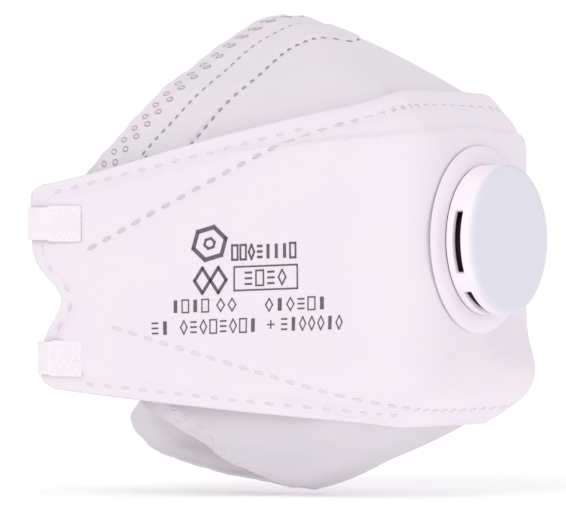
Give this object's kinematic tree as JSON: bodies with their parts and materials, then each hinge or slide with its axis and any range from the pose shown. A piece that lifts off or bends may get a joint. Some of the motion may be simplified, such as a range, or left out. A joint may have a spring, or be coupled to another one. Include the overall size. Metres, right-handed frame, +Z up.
{
  "type": "disposable dust mask",
  "caption": "Flat-fold disposable dust mask: folding cloth panels, a round exhalation valve with a side-vented cover, a hidden nose clip, a foam nose pad and elastic ear loops.",
  "frame": {"origin": "the middle of the valve cover's flat front face", "axes": "+Z up as worn, -Y out of the valve cover, the way the wearer faces, and -X to the wearer's right"},
  "size_m": [0.0678, 0.1078, 0.1029],
  "materials": {
    "outer_cloth": "matte white spunbond with a faint pink cast",
    "filter_cloth": "matte white meltblown fleece",
    "lining_cloth": "matte grey-white spunbond",
    "clip_metal": "soft annealed strip",
    "foam": "fine open-cell foam",
    "valve_plastic": "satin moulded polypropylene",
    "cover_plastic": "satin moulded polypropylene",
    "flap_rubber": "smooth silicone",
    "elastic": "ribbed knitted elastic"
  },
  "bodies": {
    "mask": {"middle_panel_cover": "outer_cloth", "top_panel_cover": "outer_cloth", "bottom_panel_cover": "outer_cloth", "middle_panel_filter": "filter_cloth", "top_panel_filter": "filter_cloth", "bottom_panel_filter": "filter_cloth", "middle_panel_lining": "lining_cloth", "top_panel_lining": "lining_cloth", "bottom_panel_lining": "lining_cloth", "nose_clip": "clip_metal", "nose_foam": "foam", "valve_base": "valve_plastic", "valve_clamp_ring": "valve_plastic", "flap_retainer": "valve_plastic", "valve_cover": "cover_plastic", "right_upper_strap_end": "elastic", "right_lower_strap_end": "elastic", "left_upper_strap_end": "elastic", "left_lower_strap_end": "elastic"},
    "flap": {"exhalation_flap": "flap_rubber"},
    "right_loop": {"right_ear_loop": "elastic"},
    "left_loop": {"left_ear_loop": "elastic"}
  },
  "joints": [
    {"name": "flap_lift", "type": "hinge", "parent": "mask", "child": "flap", "pos_m": [0, 0.00455, 0.0116], "axis": [-1, 0, 0], "range_deg": [0, 7], "stiffness_Nm_per_rad": 0.0002},
    {"name": "right_loop_swing", "type": "hinge", "parent": "mask", "child": "right_loop", "pos_m": [-0.03084, 0.10043, -0.0107], "axis": [-0.0032, 0.0908, 0.9959], "range_deg": [0, 175]},
    {"name": "left_loop_swing", "type": "hinge", "parent": "mask", "child": "left_loop", "pos_m": [0.03084, 0.10043, -0.0107], "axis": [-0.0032, -0.0908, -0.9959], "range_deg": [0, 175]}
  ]
}
